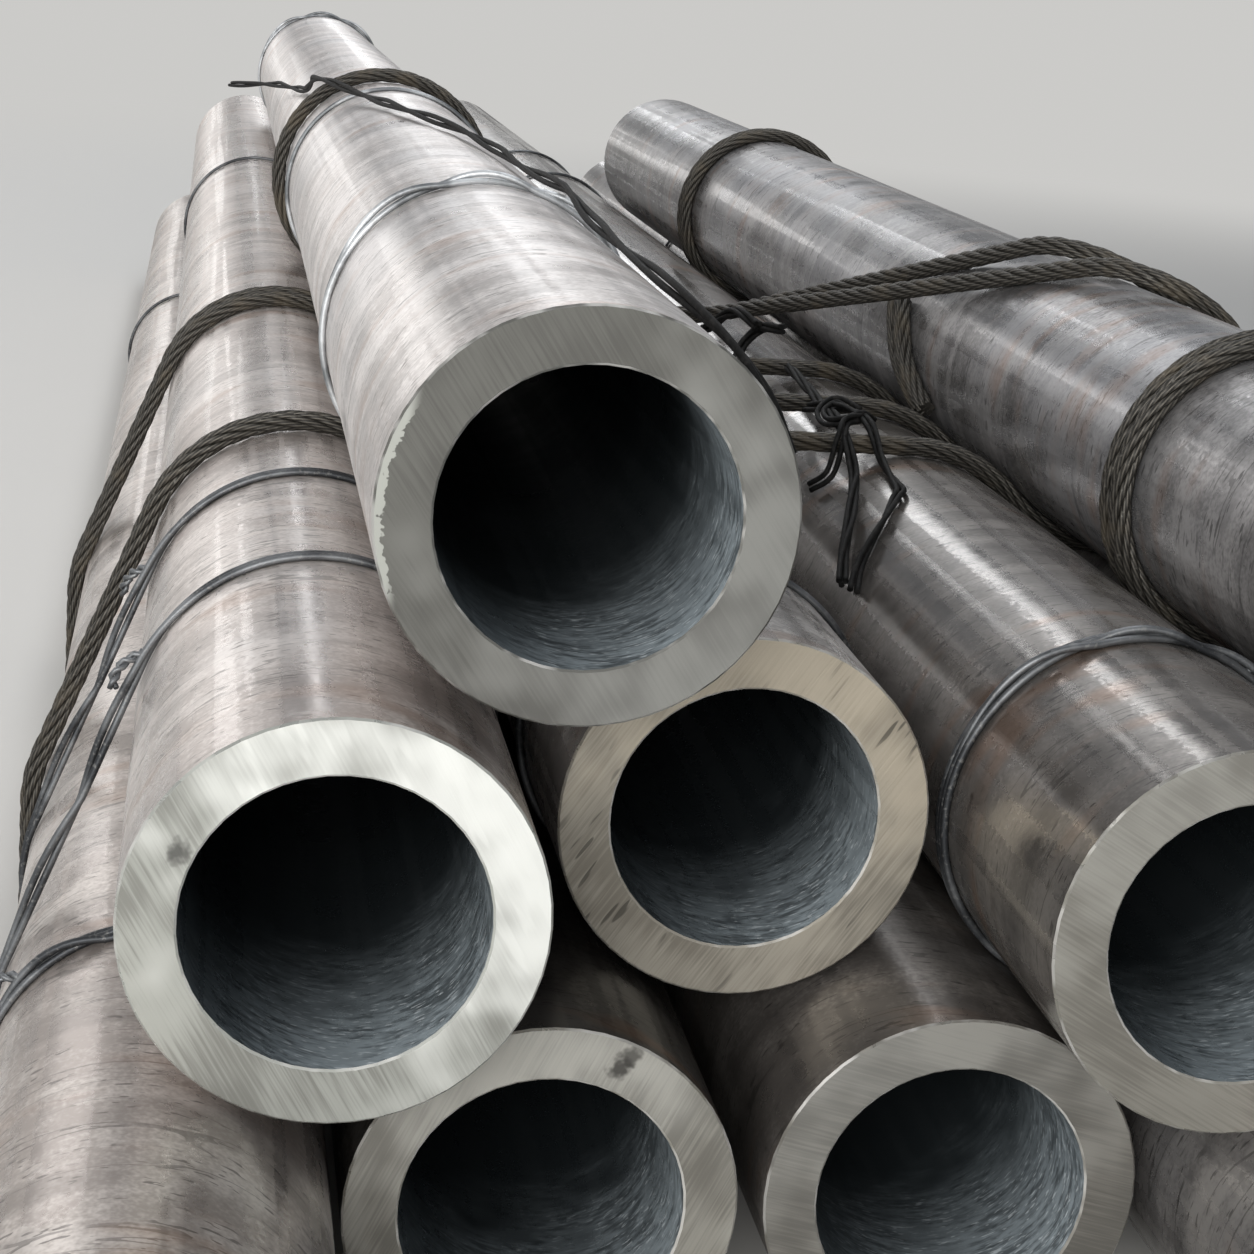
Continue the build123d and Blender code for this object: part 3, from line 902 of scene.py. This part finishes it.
def twisted(mesh, line, wire_d, lay, spread=1.0, wires=2):
    """Wires laid loosely about each other along a line, with one turn in each lay length."""
    across, travelled = sides(line, False)
    for wire in range(wires):
        moved = []
        for point, (first, second), gone in zip(line, across, travelled):
            angle = 2 * pi * (wire / wires + gone / lay)
            reach = wire_d / 2 * spread * (1 + UNEVEN * sin(gone * UNEVEN_ALONG + wire * UNEVEN_NEXT))
            moved.append(point + (first * cos(angle) + second * sin(angle)) * reach)
        add_tube(mesh, moved, wire_d / 2, LOOSE_WIRE_SIDES)


# the strand that lies slantwise over the left top pipe, from its far left flank to the near end:
# places along Y with angles from the crest and heights over the skin
TOP_STRAND = (
    (3.05, -74, 0.085), (2.78, -60, 0.030), (2.40, -46, 0.012), (2.08, -36, 0.036), (1.78, -20, 0.012),
    (1.47, -5, 0.009), (1.30, 8, 0.009), (1.12, 18, 0.009), (0.95, 22, 0.010), (0.79, 25, 0.017),
    (0.74, 26, 0.017), (0.60, 28, 0.010), (0.45, 29, 0.008), (0.34, 31, 0.008), (0.26, 37, 0.008),
    (0.20, 48, 0.008), (0.17, 62, 0.009), (0.16, 78, 0.012),
)
STRAND_WIRE = 0.0055
STRAND_LAY = 0.55
STRAND_STEP = 0.008


def top_strand(mesh):
    line = spline([on_pipe(TOP_1, *place) for place in TOP_STRAND], STRAND_STEP)
    twisted(mesh, line, STRAND_WIRE, STRAND_LAY)


piece("loose_strand", top_strand, black_look)

# black wire that ties the slings together on the third pipe, with its ends left long: how many
# wires, then their places as above
KNOT_WIRE = 0.0055
KNOT_LAY = 0.38
KNOT_SPREAD = 1.15
KNOT_STRANDS = (
    (3, ((1.30, -13, 0.020), (1.155, -17, 0.027), (1.044, -20, 0.030), (0.95, -22, 0.036),
         (0.885, -25, 0.030), (0.84, -29, 0.010), (0.795, -35, 0.008), (0.733, -44, 0.008),
         (0.684, -54, 0.008), (0.64, -61, 0.009))),
    (2, ((1.08, -24, 0.024), (1.02, -20, 0.034), (0.965, -16, 0.038), (0.90, -15, 0.034),
         (0.850, -17, 0.012), (0.792, -19, 0.006), (0.752, -20.5, 0.006), (0.735, -24, 0.006),
         (0.700, -32, 0.006), (0.668, -42, 0.006), (0.640, -52, 0.006), (0.611, -60, 0.006))),
    (2, ((0.883, -45, 0.010), (0.873, -36, 0.012), (0.882, -27, 0.034), (0.905, -22, 0.042),
         (0.925, -16, 0.036))),
    (2, ((0.985, -12, 0.030), (1.010, -17, 0.040), (0.990, -24, 0.040), (0.945, -26, 0.040),
         (0.915, -22, 0.042), (0.930, -15, 0.038), (0.950, -10, 0.024))),
)


def sling_knot(mesh):
    for wires, strand in KNOT_STRANDS:
        line = spline([on_pipe(MIDDLE_3, *place) for place in strand], KNOT_STEP)
        twisted(mesh, line, KNOT_WIRE, KNOT_LAY, KNOT_SPREAD, wires)


piece("sling_knot", sling_knot, black_look)

# short frayed ends that stick out where the slings come together
FRAYED_WIRE = 0.0065
FRAYED_LAY = 0.30
FRAYED_WIRES = 3
FRAYED_ENDS = (
    ((1.640, -28, 0.018), (1.570, -25, 0.036), (1.510, -19, 0.056), (1.460, -17, 0.058),
     (1.420, -15, 0.050)),
    ((1.400, -30, 0.016), (1.434, -22, 0.030), (1.430, -14, 0.044), (1.370, -9, 0.052)),
)


def frayed_ends(mesh):
    for strand in FRAYED_ENDS:
        line = spline([on_pipe(MIDDLE_3, *place) for place in strand], KNOT_STEP)
        twisted(mesh, line, FRAYED_WIRE, FRAYED_LAY, KNOT_SPREAD, FRAYED_WIRES)


piece("frayed_ends", frayed_ends, black_look)

# doubled rope end that hangs from the slings into the gap left of the right top pipe
HANGING_END = (
    (1.268, -68, 0.011), (1.255, -73, 0.011), (1.235, -80, 0.011),
    (1.205, -92, 0.011), (1.165, -103, 0.011), (1.130, -111, 0.011),
)
HANGING_GAP = 0.024          # along Y between its two ropes
HANGING_LEAN = 60            # degrees further down the flank for each metre of that gap


def hanging_end(mesh):
    for shift in (0.0, HANGING_GAP):
        places = [on_pipe(TOP_2, y + shift, angle - HANGING_LEAN * shift, lift)
                  for y, angle, lift in HANGING_END]
        add_strands(mesh, spline(places, ROPE_STEP))


piece("hanging_rope_end", hanging_end, rope_look)

TAIL_WIRE = WIRE_D * 0.75
TAIL_LAY = 0.020
# a tail's points after its root: heights over the root, and shares of the tail's length
TAIL_POINTS = ((0.010, 0.35), (0.013, 0.75), (0.010, 1.0))
# twisted ends of ties: pipe, place along Y, angle, turn of the tail along Y and its length
PIGTAILS = (
    ("left_near", MIDDLE_1, 0.409, -66, -0.3, 0.034),
    ("left_far", MIDDLE_1, 0.704, -70, 0.5, 0.040),
    ("floor_near", FLOOR_1, 0.287, -48, 0.4, 0.034),
    ("top_near", TOP_1, 0.769, 62, -0.6, 0.036),
    ("third_near", MIDDLE_3, 0.247, 34, -0.5, 0.034),
)


def pigtail(mesh, pipe, y, angle, slew, length):
    root = on_pipe(pipe, y, angle, WIRE_D)
    out = (on_pipe(pipe, y, angle, 1.0) - on_pipe(pipe, y, angle, 0.0)).normalized()
    round_way = Vector((cos(radians(angle)), 0, -sin(radians(angle))))
    way = (round_way * (1 if angle > 0 else -1) + Vector((0, slew, 0))).normalized()
    points = [root] + [root + out * lift + way * (length * share) for lift, share in TAIL_POINTS]
    twisted(mesh, spline(points, TAIL_STEP), TAIL_WIRE, TAIL_LAY)


for name, *rest in PIGTAILS:
    piece("twisted_end_" + name, lambda mesh, rest=rest: pigtail(mesh, *rest), wire_look)


# floor and light

PALE = (0.60, 0.595, 0.58)
FLOOR_REACH = 150
FLOOR_LIT = 3.5              # from here on the floor fades to the backdrop's plain colour,
FLOOR_PALE = 9.0             # which it has from here on
SKY = 0.24
SKY_COLOUR = (0.90, 0.94, 1.0, 1.0)
BACKDROP_PALE = 0.05         # sines of the angles over the horizon between which it fades into the sky
BACKDROP_TOP = 0.22
# lamps: place, the point that each faces, size, watts and colour; three are long, because a view
# along the pipes is reflected far down the yard
LAMPS = {
    "overhead": ((0.3, 8.0, 3.4), (0.3, 8.0, 0.0), (0.8, 22.0), 185, (0.98, 0.99, 1.0)),
    "overhead_left": ((-0.75, 8.0, 3.3), (-0.2, 8.0, 0.4), (0.14, 22.0), 38, (0.98, 0.99, 1.0)),
    "left": ((-2.3, 8.0, 1.6), (-0.6, 8.0, 0.5), (1.3, 22.0), 120, (1.0, 0.98, 0.96)),
    "front_left": ((-2.8, -8.0, 2.3), (0.0, -2.6, 0.3), (4.6, 2.4), 425, (1.0, 0.99, 0.96)),
}


def make_floor():
    data = bpy.data.meshes.new("floor")
    mesh = bmesh.new()
    bmesh.ops.create_grid(mesh, x_segments=1, y_segments=1, size=FLOOR_REACH)
    mesh.to_mesh(data)
    mesh.free()
    n = Nodes(bpy.data.materials.new("floor"))
    length = n.vector("LENGTH", n.add("ShaderNodeTexCoord").outputs["Object"])
    rays = n.add("ShaderNodeLightPath").outputs
    seen = n.math("ADD", rays["Is Camera Ray"], rays["Is Glossy Ray"], clamp=True)
    far = n.times(n.band(length, FLOOR_LIT, FLOOR_PALE), seen)
    pale = n.add("ShaderNodeEmission")
    pale.inputs[0].default_value = (*PALE, 1.0)
    n.mix_shaders(far, n.shader, pale, "Material Output")
    data.materials.append(n.shade((*PALE, 1.0), 0.9, 0.0))
    floor = bpy.data.objects.new("floor", data)
    bpy.context.scene.collection.objects.link(floor)


def area_light(name, at, towards, size, power, colour):
    data = bpy.data.lights.new(name, "AREA")
    data.shape = "RECTANGLE"
    data.size, data.size_y = size
    data.energy = power
    data.color = colour
    light = bpy.data.objects.new(name, data)
    bpy.context.scene.collection.objects.link(light)
    away = (Vector(at) - Vector(towards)).normalized()
    length = Vector((0, 1, 0)) if abs(away.y) < 0.7 else Vector((0, 0, 1))
    side = length.cross(away).normalized()
    up = away.cross(side)
    light.matrix_world = Matrix.Translation(at) @ Matrix((side, up, away)).transposed().to_4x4()


def make_light():
    world = bpy.data.worlds.new("studio")
    n = Nodes(world)
    sky = n.tree.nodes["Background"]
    sky.inputs[0].default_value = SKY_COLOUR
    sky.inputs[1].default_value = SKY
    # the view and the metal see the same pale backdrop above the horizon
    backdrop = n.add("ShaderNodeBackground")
    backdrop.inputs[0].default_value = (*PALE, 1.0)
    towards = n.add("ShaderNodeSeparateXYZ")
    n.put(n.add("ShaderNodeTexCoord").outputs["Generated"], towards.inputs[0])
    rays = n.add("ShaderNodeLightPath").outputs
    seen = n.math("ADD", rays["Is Camera Ray"], rays["Is Glossy Ray"], clamp=True)
    low_down = n.band(towards.outputs[2], BACKDROP_TOP, BACKDROP_PALE)
    n.mix_shaders(n.times(seen, low_down), sky, backdrop, "World Output")
    bpy.context.scene.world = world
    for name, lamp in LAMPS.items():
        area_light(name, *lamp)


make_camera()
make_floor()
make_light()
bpy.context.scene.view_settings.view_transform = "Standard"
